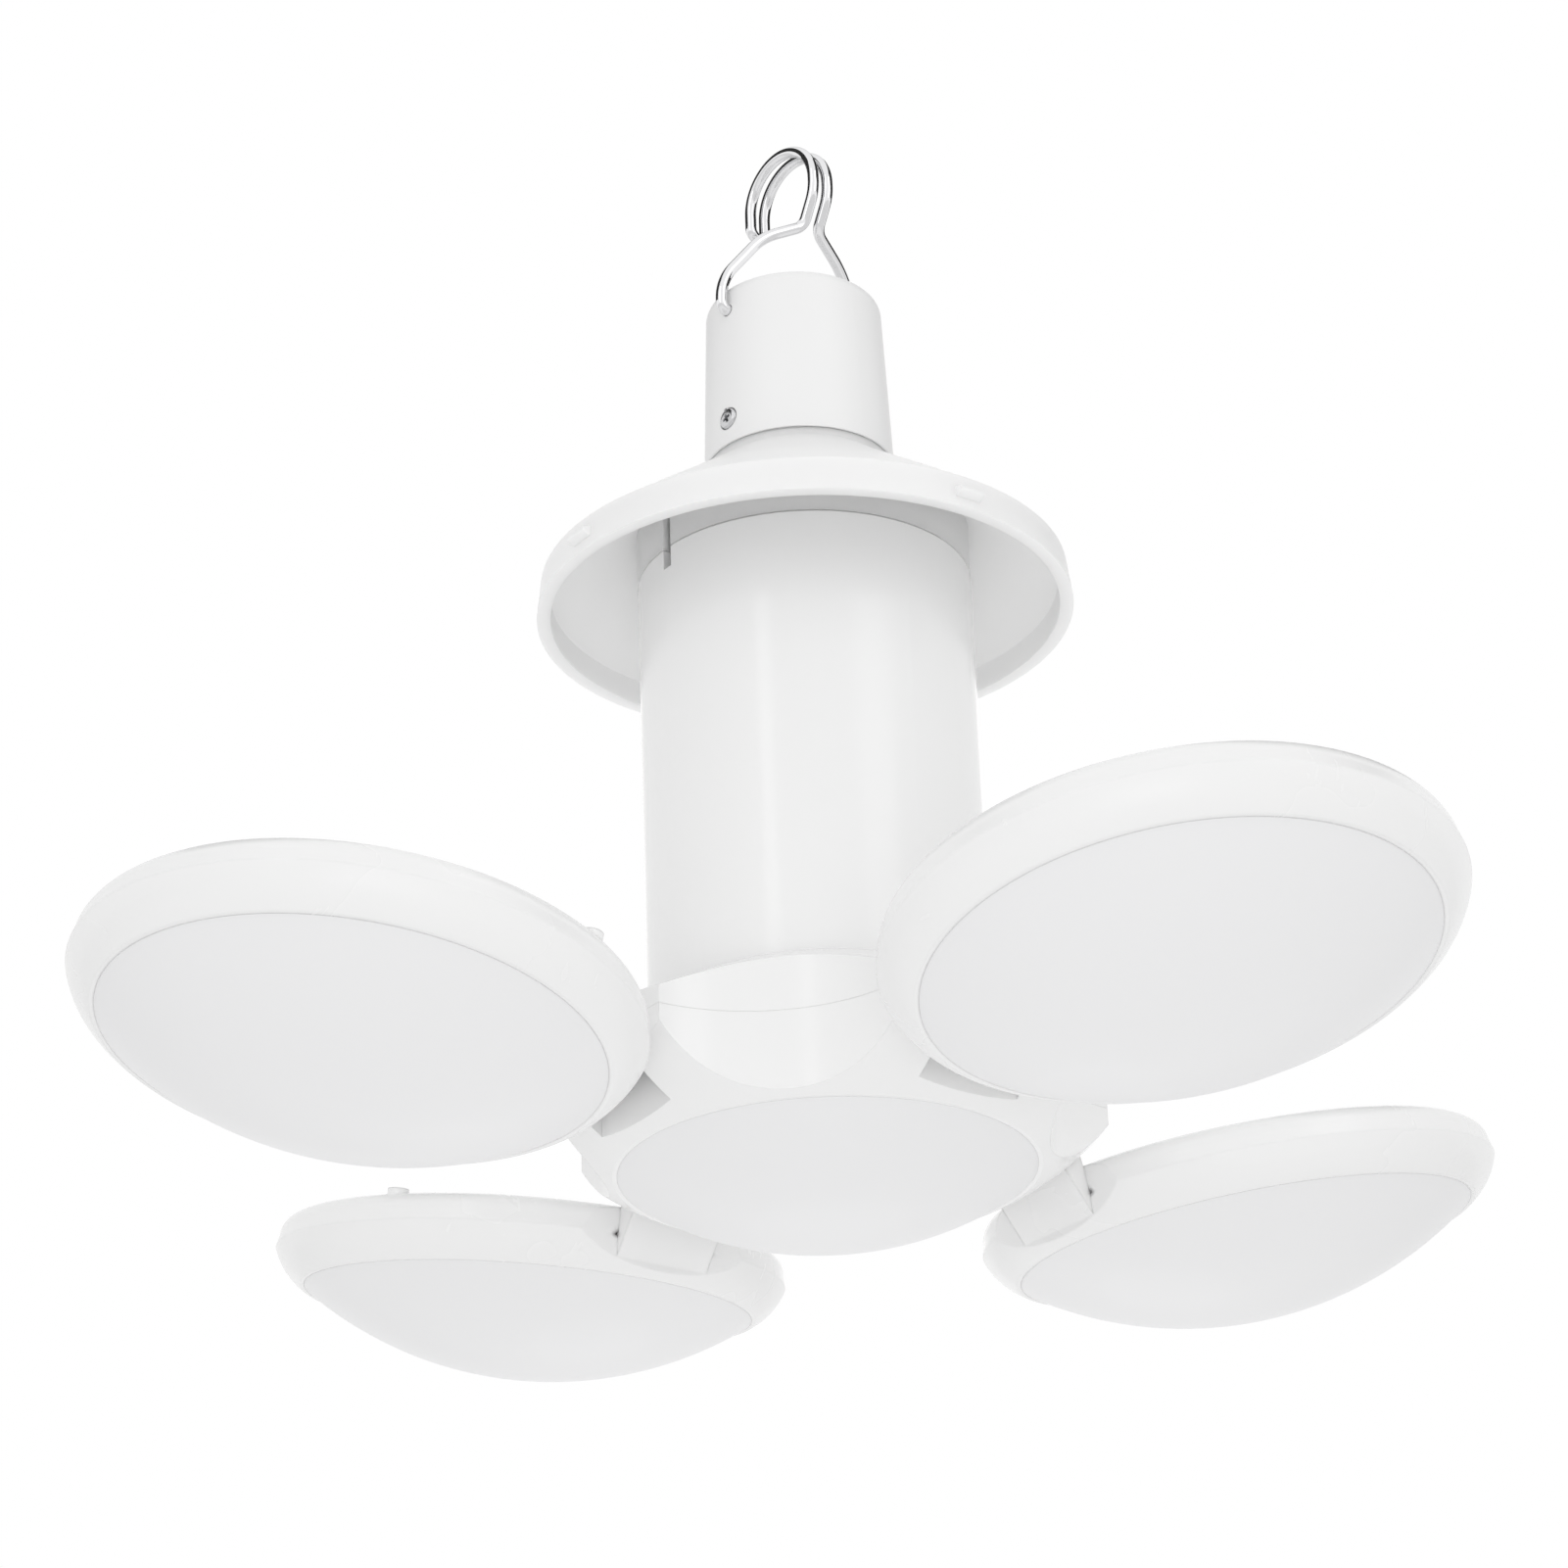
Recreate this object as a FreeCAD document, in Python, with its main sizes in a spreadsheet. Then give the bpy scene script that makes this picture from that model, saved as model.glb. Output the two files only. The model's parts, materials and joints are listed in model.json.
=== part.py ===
import FreeCAD, Part
import math
import os
import re
import Sketcher

# Foldable LED bulb: a battery lamp that hangs by a wire hook, with four round light petals
# hinged on a scalloped hub. Petal 1 points along +X and the others follow anticlockwise.
# The origin is the hanging point, inside the top of the hook, and the lamp hangs along -Z.

doc = FreeCAD.newDocument("FoldableBulb")
sheet = doc.addObject("Spreadsheet::Sheet", "sizes")

# Driving dimensions, in millimetres and degrees
SIZES = {
    # Wire hook
    "wire_diameter": 2.1,
    "hook_radius": 8.7,
    "hook_rise": 37.25,
    "hook_tip_drop": 12.0,
    "strand_spacing": 3.4,
    "stem_lean": 3.2,
    "stem_bend_drop": 10.5,
    "stem_foot_drop": 16.75,
    "leg_spread": 17.45,
    "leg_corner_drop": 31.5,
    "leg_knee_spread": 9.6,
    "leg_knee_drop": 20.9,
    "leg_knee_lean": 3.0,
    "leg_knee_radius": 14.0,
    "leg_bend_radius": 11.0,
    "pin_bend_radius": 1.3,
    "stem_bend_radius": 8.7,
    "stem_foot_radius": 2.9,
    "pin_reach": 5.0,
    "pivot_play": 0.08,
    # Cap over the neck
    "cap_radius": 17.07,
    "cap_top_radius": 15.98,
    "cap_height": 33.3,
    "cap_wall": 2.0,
    "cap_edge": 2.5,
    "cap_turn": 6.0,
    "pivot_height": 27.7,
    "cap_screw_height": 5.1,
    "cap_screw_head": 4.0,
    # Collar
    "cap_lift": 29.26,
    "collar_radius": 47.5,
    "band_radius": 46.72,
    "band_height": 6.49,
    "collar_wall": 2.45,
    "band_inner_height": 4.8,
    "cone_height": 26.6,
    "neck_radius": 16.8,
    "neck_flare": 1.1,
    "spigot_height": 13.0,
    "fit_gap": 0.15,
    "neck_drop": 5.72,
    "neck_wall": 1.6,
    "shoulder_width": 1.4,
    "catch_width": 5.0,
    "catch_lift": 1.95,
    "catch_proud": 1.2,
    "catch_height": 2.6,
    "notch_width": 2.2,
    "notch_depth": 4.0,
    "collar_notch_height": 8.0,
    # Column and its scalloped skirt
    "column_radius": 29.57,
    "column_wall": 2.0,
    "column_length": 95.72,
    "column_joint_gap": 0.25,
    "column_spigot": 5.0,
    "skirt_rise": 13.7,
    "skirt_edge": 3.1,
    "boss_radius": 3.0,
    "hub_pilot_depth": 7.0,
    "keeper_gap": 0.3,
    "keeper_root": 2.0,
    "hub_half_width": 46.5,
    "scallop_radius": 28.0,
    # Hub bowl
    "bowl_depth": 14.59,
    "bowl_edge": 3.0,
    "bowl_bulge_radius": 40.0,
    "hub_lens_radius": 35.34,
    "hub_lens_sag": 10.9,
    "bezel_land": 0.8,
    "bezel_lip": 1.2,
    "bowl_bore": 36.3,
    "holder_seat": 1.27,
    "flange_thickness": 2.0,
    "standoff_height": 2.5,
    "standoff_radius": 2.6,
    "hub_screw_offset": 1.43,
    "hub_screw_grip": 6.0,
    "slot_width": 20.0,
    "slot_floor_radius": 38.7,
    # Petal hinges
    "hinge_radius": 44.0,
    "hinge_drop": 3.64,
    "pin_diameter": 2.0,
    "pin_length": 32.0,
    "pin_seat_gap": 0.02,
    "pin_play": 0.05,
    "knuckle_radius": 2.6,
    "tongue_width": 19.0,
    "tongue_nose": 2.2,
    "tongue_floor": 2.4,
    "ramp_run": 0.6,
    "open_tilt": 10.5,
    # Petals
    "petal_radius": 46.6,
    "petal_reach": 46.6,
    "petal_depth": 11.4,
    "petal_bevel": 6.2,
    "bevel_bulge_radius": 12.0,
    "petal_edge": 3.0,
    "petal_draft": 0.5,
    "petal_wall": 2.0,
    "petal_bezel": 5.75,
    "petal_lens_sag": 13.2,
    "petal_hinge_rise": 4.1,
    "chord_inset": 3.2,
    "lens_thickness": 1.6,
    "lens_flange": 0.75,
    "lens_gap": 0.06,
    "nub_width": 3.8,
    "nub_height": 0.8,
    "nub_angle": 114.0,
    # Boards, LEDs and screws
    "board_thickness": 1.6,
    "hub_board_radius": 34.5,
    "petal_board_margin": 2.85,
    "hub_board_screw_margin": 3.5,
    "led_length": 3.5,
    "led_width": 2.8,
    "led_height": 0.8,
    "petal_led_margin": 8.0,
    "petal_led_ring_inner": 15.0,
    "hub_led_ring_outer": 24.0,
    "hub_led_ring_inner": 12.0,
    "board_screw_circle": 22.5,
    "petal_pilot_depth": 1.6,
    "petal_screw_grip": 1.4,
    "screw_diameter": 2.0,
    "screw_head_diameter": 3.4,
    "screw_head_height": 1.2,
    "screw_gap": 0.03,
    # Battery, controls and socket
    "cell_diameter": 18.4,
    "cell_length": 65.0,
    "holder_plate": 2.0,
    "holder_gap": 0.3,
    "holder_bar_radius": 2.0,
    "holder_bar_inset": 3.77,
    "wire_way_radius": 4.0,
    "platform_radius": 5.0,
    "platform_inset": 6.17,
    "platform_height": 24.2,
    "spot_face_gap": 0.4,
    "button_radius": 3.0,
    "button_proud": 1.2,
    "button_edge": 0.6,
    "button_gap": 0.15,
    "button_flange": 0.9,
    "button_travel": 0.8,
    "switch_width": 5.0,
    "switch_height": 3.5,
    "plunger_radius": 1.7,
    "socket_length": 8.9,
    "socket_width": 3.2,
    "socket_wall": 0.35,
    "socket_blade": 0.7,
    "socket_blade_length": 6.7,
    "socket_blade_recess": 0.7,
    "socket_floor": 4.4,
}

for row, (name, number) in enumerate(SIZES.items(), 1):
    sheet.set(f"A{row}", name)
    sheet.set(f"B{row}", str(number))
    sheet.setAlias(f"B{row}", name)
doc.recompute()

X_AXIS = FreeCAD.Vector(1, 0, 0)
Y_AXIS = FreeCAD.Vector(0, 1, 0)
Z_AXIS = FreeCAD.Vector(0, 0, 1)
SIDES = 4
SIDE_TURN = 360 / SIDES
DIAGONAL = SIDE_TURN / 2
pieces = []


def bind(formula):
    """Turn a formula on size names into an expression on the sheet's cells."""
    return re.sub(r"[a-z]\w*", lambda word: "sizes." + word[0] if word[0] in SIZES else word[0], formula)


def value(formula):
    """The formula's number at the sheet's present sizes."""
    return float(sheet.evalExpression(bind(formula)))


def point(x, y, z):
    return FreeCAD.Vector(value(x), value(y), value(z))


def move(x="0", y="0", z="0", axis=Z_AXIS, angle=0):
    """A placement from three formulas and a turn about an axis."""
    return FreeCAD.Placement(point(x, y, z), FreeCAD.Rotation(axis, angle))


def turned_about_z(angle):
    return FreeCAD.Placement(FreeCAD.Vector(), FreeCAD.Rotation(Z_AXIS, angle))


# Heights of the main planes below the hanging point
PIVOT_Z = "(-hook_rise)"
CAP_Z = f"({PIVOT_Z} - pivot_height)"
RIM_Z = f"({CAP_Z} - cap_lift)"
COLUMN_TOP_Z = f"({RIM_Z} + neck_drop)"
SEAM_Z = f"({COLUMN_TOP_Z} - column_length)"
LENS_Z = f"({SEAM_Z} - bowl_depth)"
HINGE_Z = f"({SEAM_Z} - hinge_drop)"

# Sizes that follow from others
SPIGOT_RADIUS = "(cap_radius - cap_wall - fit_gap)"
CAP_TAPER = "(cap_radius - cap_top_radius) / (cap_height - cap_wall)"
NECK_BORE = "(column_radius - neck_wall)"
COLUMN_SPIGOT_RADIUS = f"({NECK_BORE} - fit_gap)"
COLUMN_BORE = "(column_radius - column_wall)"
HOLDER_RADIUS = f"({COLUMN_BORE} - holder_gap)"
HOLDER_BAR_CIRCLE = f"({HOLDER_RADIUS} - holder_bar_inset)"
FLANGE_HOLE = f"({HOLDER_RADIUS} - holder_seat)"
HUB_SCREW_CIRCLE = "(column_radius + hub_screw_offset)"
HUB_BOARD_CIRCLE = "(hub_board_radius - hub_board_screw_margin)"
PLATFORM_CIRCLE = "(column_radius - platform_inset)"
PETAL_LENS_RADIUS = "(petal_radius - petal_bezel)"
PETAL_BOARD_RADIUS = f"({PETAL_LENS_RADIUS} - petal_board_margin)"
PETAL_LED_RING_OUTER = f"({PETAL_BOARD_RADIUS} - petal_led_margin)"
CONTROL_BOARD_Z = "(neck_drop + column_spigot)"
SHOULDER_Z = f"({CONTROL_BOARD_Z} + board_thickness + fit_gap)"
SKIRT_RADIUS = "sqrt(hub_half_width ^ 2 + (hub_half_width - scallop_radius) ^ 2)"
PETAL_HINGE_Z = "(petal_depth + petal_hinge_rise)"
CONE_SLOPE = "((cone_height - band_height) / (band_radius - neck_radius - neck_flare))"
ROOF_SLOPE = f"((skirt_rise - skirt_edge) / ({SKIRT_RADIUS} - column_radius))"


def cone_at(radius):
    """Height of the collar's outer cone over the rim plane at a radius."""
    return f"(band_height + (band_radius - {radius}) * {CONE_SLOPE})"


def cone_under(radius):
    """Height of the underside of the collar's cone at a radius."""
    return f"({cone_at(radius)} - collar_wall * sqrt(1 + {CONE_SLOPE} ^ 2))"


def roof_at(radius):
    """Height of the skirt's roof over the seam at a radius."""
    return f"(skirt_rise - ({radius} - column_radius) * {ROOF_SLOPE})"


# Sketches and solids


def origin_plane(body, role):
    return next(feature for feature in body.Origin.OriginFeatures if feature.Role == role)


def new_sketch(body, role, lift=None):
    sketch = body.newObject("Sketcher::SketchObject", "Sketch")
    sketch.AttachmentSupport = (origin_plane(body, role), [""])
    sketch.MapMode = "FlatFace"
    if lift:
        sketch.setExpression("AttachmentOffset.Base.z", bind(lift))
    return sketch


def dimension(sketch, kind, geometry, end, formula):
    """Tie one coordinate of a point to a formula, or to the axis itself where it is zero."""
    if formula == "0":
        axis = -2 if kind == "DistanceX" else -1
        sketch.addConstraint(Sketcher.Constraint("PointOnObject", geometry, end, axis))
        return
    index = sketch.addConstraint(Sketcher.Constraint(kind, -1, 1, geometry, end, value(formula)))
    sketch.setExpression(f"Constraints[{index}]", bind(formula))


def arc_between(start, end, radius, turn):
    """Arc of less than a half circle, anticlockwise for turn 1 and clockwise for turn -1."""
    half = (end - start) * 0.5
    reach = math.sqrt(radius ** 2 - half.Length ** 2)
    side = FreeCAD.Vector(-half.y, half.x, 0).normalize()
    centre = start + half + side * (reach * turn)
    first, last = (start - centre, end - centre) if turn > 0 else (end - centre, start - centre)
    circle = Part.Circle(centre, Z_AXIS, radius)
    return Part.ArcOfCircle(circle, math.atan2(first.y, first.x), math.atan2(last.y, last.x))


def outline(sketch, corners):
    """Closed profile. A corner is (x, y) at the end of a line, or (x, y, radius, turn) of an arc."""
    places = [point(corner[0], corner[1], "0") for corner in corners]
    runs = []
    for index, corner in enumerate(corners):
        start, end = places[index - 1], places[index]
        if len(corner) == 2:
            runs.append((sketch.addGeometry(Part.LineSegment(start, end)), 1, 2))
            continue
        radius, turn = corner[2], corner[3]
        arc = sketch.addGeometry(arc_between(start, end, value(radius), turn))
        runs.append((arc, 1, 2) if turn > 0 else (arc, 2, 1))
        bound = sketch.addConstraint(Sketcher.Constraint("Radius", arc, value(radius)))
        sketch.setExpression(f"Constraints[{bound}]", bind(radius))
    for index, corner in enumerate(corners):
        geometry, _, end = runs[index]
        following, start, _ = runs[(index + 1) % len(runs)]
        sketch.addConstraint(Sketcher.Constraint("Coincident", geometry, end, following, start))
        dimension(sketch, "DistanceX", geometry, end, corner[0])
        dimension(sketch, "DistanceY", geometry, end, corner[1])


def new_body(name):
    return doc.addObject("PartDesign::Body", name)


def turned(name, corners):
    """A body turned about Z from a profile in the XZ plane."""
    body = new_body(name)
    sketch = new_sketch(body, "XZ_Plane")
    outline(sketch, corners)
    revolution = body.newObject("PartDesign::Revolution", "Revolution")
    revolution.Profile = sketch
    revolution.ReferenceAxis = (sketch, ["V_Axis"])
    revolution.Angle = 360
    return body


def padded(name, role, corners, length, both_ways=False, lift=None):
    """A body padded from an outline in one of the body's planes."""
    body = new_body(name)
    sketch = new_sketch(body, role, lift)
    outline(sketch, corners)
    pad = body.newObject("PartDesign::Pad", "Pad")
    pad.Profile = sketch
    pad.setExpression("Length", bind(length))
    if both_ways:
        pad.SideType = "Symmetric"
    return body


def round_copies(body, feature, count):
    """Repeat a body's feature round Z."""
    pattern = body.newObject("PartDesign::PolarPattern", "PolarPattern")
    pattern.Originals = [feature]
    pattern.Axis = (next(f for f in body.Origin.OriginFeatures if f.Role == "Z_Axis"), [""])
    pattern.Angle = 360
    pattern.Occurrences = count
    body.Tip = pattern
    return pattern


def cylinder(name, radius, height, place):
    solid = doc.addObject("Part::Cylinder", name)
    solid.setExpression("Radius", bind(radius))
    solid.setExpression("Height", bind(height))
    solid.Placement = place
    return solid


def block(name, length, width, height, place):
    """A box centred on its placement in X and Y, standing on it in Z."""
    solid = doc.addObject("Part::Box", name)
    solid.setExpression("Length", bind(length))
    solid.setExpression("Width", bind(width))
    solid.setExpression("Height", bind(height))
    solid.Placement = place * move(f"-({length}) / 2", f"-({width}) / 2")
    return solid


def fuse(name, solids):
    result = doc.addObject("Part::MultiFuse", name)
    result.Shapes = solids
    return result


def group(name, solids):
    result = doc.addObject("Part::Compound", name)
    result.Links = solids
    return result


def common(name, first, second):
    result = doc.addObject("Part::MultiCommon", name)
    result.Shapes = [first, second]
    return result


def cut(name, base, tools):
    result = doc.addObject("Part::Cut", name)
    result.Base = base
    result.Tool = tools[0] if len(tools) == 1 else fuse(name + "_tools", tools)
    return result


def piece(node, solid, place=None):
    """Name a finished sub-part and put it in its place in the lamp."""
    solid.Label = node
    if place:
        solid.Placement = place
    pieces.append(solid)


def screw(name, length, place, head_diameter="screw_head_diameter"):
    """A small screw with its head's seat at its placement and its shank along +Z."""
    head_radius = head_diameter + " / 2"
    head = cylinder(name + "_head", head_radius, "screw_head_height", move(z="-screw_head_height"))
    shank = cylinder(name + "_shank", "screw_diameter / 2", length, move())
    whole = fuse(name, [head, shank])
    whole.Placement = place
    return whole


def bore(name, length, place):
    """The hole that a screw's shank runs in."""
    return cylinder(name, "screw_diameter / 2 + screw_gap", length, place)


# Hook: one wire, doubled into a J, with a leg down each side of the cap


def bent_wire(corners):
    """Path of straight runs joined by tangent arcs. A corner is a point and its bend radius."""
    edges = []
    here = corners[0][0]
    for index in range(1, len(corners) - 1):
        corner, radius = corners[index]
        back = (corners[index - 1][0] - corner).normalize()
        ahead = (corners[index + 1][0] - corner).normalize()
        half_angle = back.getAngle(ahead) / 2
        reach = radius / math.tan(half_angle)
        middle = (back + ahead).normalize()
        on_arc = corner + middle * (radius / math.sin(half_angle) - radius)
        enter, leave = corner + back * reach, corner + ahead * reach
        if (enter - here).Length > 1e-6:
            edges.append(Part.LineSegment(here, enter).toShape())
        edges.append(Part.Arc(enter, on_arc, leave).toShape())
        here = leave
    edges.append(Part.LineSegment(here, corners[-1][0]).toShape())
    return Part.Wire(edges)


def hook_half(side):
    """Corners from the pin in the cap to the hook's tip, on one side of the hook's plane."""
    strand = f"{side} * strand_spacing / 2"
    leg = f"{side} * leg_spread"
    knee = f"{side} * leg_knee_spread"
    crown = "wire_diameter / 2"
    tip = "-hook_tip_drop"
    return [
        (point("0", f"{leg} - {side} * pin_reach", PIVOT_Z), 0),
        (point("0", leg, PIVOT_Z), value("pin_bend_radius")),
        (point("0", leg, "-leg_corner_drop"), value("leg_bend_radius")),
        (point("leg_knee_lean", knee, "-leg_knee_drop"), value("leg_knee_radius")),
        (point("hook_radius - stem_lean", strand, "-stem_foot_drop"), value("stem_foot_radius")),
        (point("hook_radius", strand, "-stem_bend_drop"), value("stem_bend_radius")),
        (point("hook_radius", strand, crown), value("hook_radius")),
        (point("-hook_radius", strand, crown), value("hook_radius")),
        (point("-hook_radius", strand, tip), value("strand_spacing / 2")),
    ]


def make_hook():
    path = bent_wire(hook_half(-1) + hook_half(1)[::-1])
    start = path.OrderedVertexes[0].Point
    ring = Part.Wire(Part.makeCircle(value("wire_diameter / 2"), start, Y_AXIS))
    wire = doc.addObject("Part::Feature", "hook_wire")
    wire.Shape = path.makePipeShell([ring], True, False)
    expected = math.pi * value("wire_diameter") ** 2 / 4 * path.Length
    print(f"hook wire {path.Length:.1f} mm long, volume ratio {wire.Shape.Volume / expected:.4f}")
    piece("hook", wire, turned_about_z(value("cap_turn")))


# Cap and its two screws


def cap_place():
    return move(z=CAP_Z, angle=value("cap_turn"))


def across(z, reach, angle=0):
    """Placement of something that points along Y, out through the side at a height."""
    return turned_about_z(angle) * move(y=reach, z=z, axis=X_AXIS, angle=90)


def make_cap():
    shell = turned("cap_shell", [
        ("cap_radius - cap_wall", "0"),
        ("cap_radius", "0"),
        ("cap_top_radius", "cap_height - cap_edge"),
        ("cap_top_radius - cap_edge", "cap_height", "cap_edge", 1),
        ("0", "cap_height"),
        ("0", "cap_height - cap_wall"),
        ("cap_top_radius - cap_wall", "cap_height - cap_wall"),
    ])
    outside = "cap_radius + cap_wall"
    through = f"2 * ({outside})"
    pivot = cylinder("pivot_bore", "wire_diameter / 2 + pivot_play", through, across("pivot_height", outside))
    holes = [pivot, bore("cap_screw_bore", through, across("cap_screw_height", outside))]
    seat = "cap_screw_head / 2 + fit_gap"
    for turn in (0, 180):
        holes.append(cylinder(f"cap_seat_{turn}", seat, "cap_wall",
                              across("cap_screw_height", "cap_radius + cap_wall / 2", turn)))
    piece("hook_cap", cut("hook_cap", shell, holes), cap_place())
    screws = []
    for turn in (0, 180):
        place = cap_place() * across("cap_screw_height", "cap_radius - cap_wall / 2", turn)
        length = "cap_wall / 2 + fit_gap + collar_wall"
        screws.append(screw(f"cap_screw_{turn}", length, place, "cap_screw_head"))
    piece("cap_screws", group("cap_screws", screws))


# Collar: band, cone, neck and the inner neck that the column fits


def platform_place(angle, z):
    return turned_about_z(angle) * move(PLATFORM_CIRCLE, z=z)


def make_collar():
    neck_top = "cap_lift + spigot_height"
    bore_radius = f"{SPIGOT_RADIUS} - collar_wall"
    shoulder = f"({NECK_BORE} - shoulder_width)"
    shell = turned("collar_shell", [
        ("collar_radius - collar_wall", "0"),
        ("collar_radius", "0"),
        ("band_radius", "band_height"),
        ("neck_radius + neck_flare", "cone_height"),
        ("neck_radius", "cone_height + neck_flare"),
        ("neck_radius", "cap_lift"),
        (SPIGOT_RADIUS, "cap_lift"),
        (f"{SPIGOT_RADIUS} - spigot_height * {CAP_TAPER}", neck_top),
        (bore_radius, neck_top),
        (bore_radius, cone_under("neck_radius")),
        (shoulder, cone_under(shoulder)),
        (shoulder, SHOULDER_Z),
        (NECK_BORE, SHOULDER_Z),
        (NECK_BORE, "neck_drop"),
        ("column_radius", "neck_drop"),
        ("column_radius", cone_under("column_radius")),
        ("collar_radius - collar_wall", "band_inner_height"),
    ])
    catches = padded("catches", "XZ_Plane", [
        ("band_radius - collar_wall / 2", "catch_lift"),
        ("collar_radius", "catch_lift"),
        ("collar_radius + catch_proud", "catch_lift + catch_proud / 2"),
        ("collar_radius + catch_proud", "catch_lift + catch_height / 2"),
        ("band_radius - collar_wall / 2", "catch_lift + catch_height"),
    ], "catch_width", both_ways=True)
    round_copies(catches, catches.Tip, SIDES)
    floor = cone_under(f"({PLATFORM_CIRCLE} + platform_radius)")
    rise = f"platform_height - {floor}"
    platforms, spot_faces = [], []
    for angle in (90, 180):
        platforms.append(cylinder(f"platform_{angle}", "platform_radius", rise, platform_place(angle, floor)))
        spot_faces.append(cylinder(f"spot_face_{angle}", "platform_radius + spot_face_gap", "cone_height",
                                   platform_place(angle, "platform_height")))
    button_place = platform_place(90, CONTROL_BOARD_Z)
    button_hole = cylinder("button_hole", "button_radius + button_gap", "cone_height", button_place)
    flange_room = cylinder("button_flange_room", "button_radius + button_flange + 2 * button_gap",
                           f"platform_height - collar_wall - {CONTROL_BOARD_Z}", button_place)
    socket_hole = block("socket_hole", "socket_width + 2 * fit_gap", "socket_length + 2 * fit_gap",
                        "cone_height", platform_place(180, CONTROL_BOARD_Z))
    notch = block("collar_notch", "notch_width", "3 * neck_wall", "collar_notch_height",
                  move(y="-column_radius", z="neck_drop"))
    screw_axis = across("cap_lift + cap_screw_height", "cap_radius + cap_wall", value("cap_turn"))
    screw_holes = bore("neck_screw_bore", "2 * (cap_radius + cap_wall)", screw_axis)
    solid = fuse("collar_solid", [shell, catches] + platforms)
    tools = spot_faces + [button_hole, flange_room, socket_hole, notch, screw_holes]
    piece("collar", cut("collar", solid, tools), move(z=RIM_Z))


# Column: tube, spigot and scalloped skirt


def hub_plan(name, inset, height):
    """Square with a quarter circle bitten out of each corner, inset all round."""
    side = f"(hub_half_width - {inset})"
    bite = f"(scallop_radius + {inset})"
    half = f"(hub_half_width - sqrt({bite} ^ 2 - {inset} ^ 2))"
    return padded(name, "XY_Plane", [
        (side, f"-{half}", bite, -1),
        (side, half),
        (half, side, bite, -1),
        (f"-{half}", side),
        (f"-{side}", half, bite, -1),
        (f"-{side}", f"-{half}"),
        (f"-{half}", f"-{side}", bite, -1),
        (half, f"-{side}"),
    ], height)


def make_column():
    wide = f"{SKIRT_RADIUS} + column_wall"
    top = "column_length + column_spigot"
    outer = turned("column_outer", [
        ("0", "0"),
        (wide, "0"),
        (wide, "skirt_edge"),
        (SKIRT_RADIUS, "skirt_edge"),
        ("column_radius", "skirt_rise"),
        ("column_radius", "column_length - column_joint_gap"),
        (COLUMN_SPIGOT_RADIUS, "column_length - column_joint_gap"),
        (COLUMN_SPIGOT_RADIUS, top),
        ("0", top),
    ])
    spigot_bore = f"({COLUMN_SPIGOT_RADIUS} - neck_wall)"
    inner = turned("column_inner", [
        ("0", "0"),
        (wide, "0"),
        (wide, "skirt_edge - column_wall"),
        (SKIRT_RADIUS, "skirt_edge - column_wall"),
        (COLUMN_BORE, f"{roof_at(COLUMN_BORE)} - column_wall"),
        (COLUMN_BORE, "column_length - 2 * column_wall"),
        (spigot_bore, "column_length"),
        (spigot_bore, top),
        ("0", top),
    ])
    outer_form = common("column_form", outer, hub_plan("skirt_plan", "0", top))
    inner_form = common("column_hollow", inner, hub_plan("hollow_plan", "column_wall", top))
    shell = cut("column_shell", outer_form, [inner_form])
    bosses, pilots, keepers = [], [], []
    keeper_height = "hinge_drop - pin_diameter / 2 - pin_play"
    keeper_length = "(pin_length - slot_width) / 2 - 2 * keeper_gap"
    boss_height = f"{roof_at(f'({HUB_SCREW_CIRCLE} + boss_radius)')} - column_wall / 2"
    for side in range(SIDES):
        turn = side * SIDE_TURN
        diagonal = turned_about_z(turn + DIAGONAL) * move(HUB_SCREW_CIRCLE)
        bosses.append(cylinder(f"boss_{side}", "boss_radius", boss_height, diagonal))
        pilots.append(bore(f"pilot_{side}", "hub_pilot_depth", diagonal))
        for end in (-1, 1):
            middle = f"{end} * (pin_length + slot_width) / 4"
            foot = turned_about_z(turn) * move("hinge_radius", middle, f"-({keeper_height})")
            keepers.append(block(f"keeper_{side}_{end}", "pin_diameter", keeper_length,
                                 f"{keeper_height} + keeper_root", foot))
    notch = block("column_notch", "notch_width", "4 * column_wall", "notch_depth + column_spigot",
                  move(y="-column_radius", z="column_length - notch_depth"))
    solid = fuse("column_solid", [shell] + bosses + keepers)
    piece("column_housing", cut("column_housing", solid, pilots + [notch]), move(z=SEAM_Z))


# Hub bowl: bezel for the lens, ears for the hinge pins, flange for the board


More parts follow.
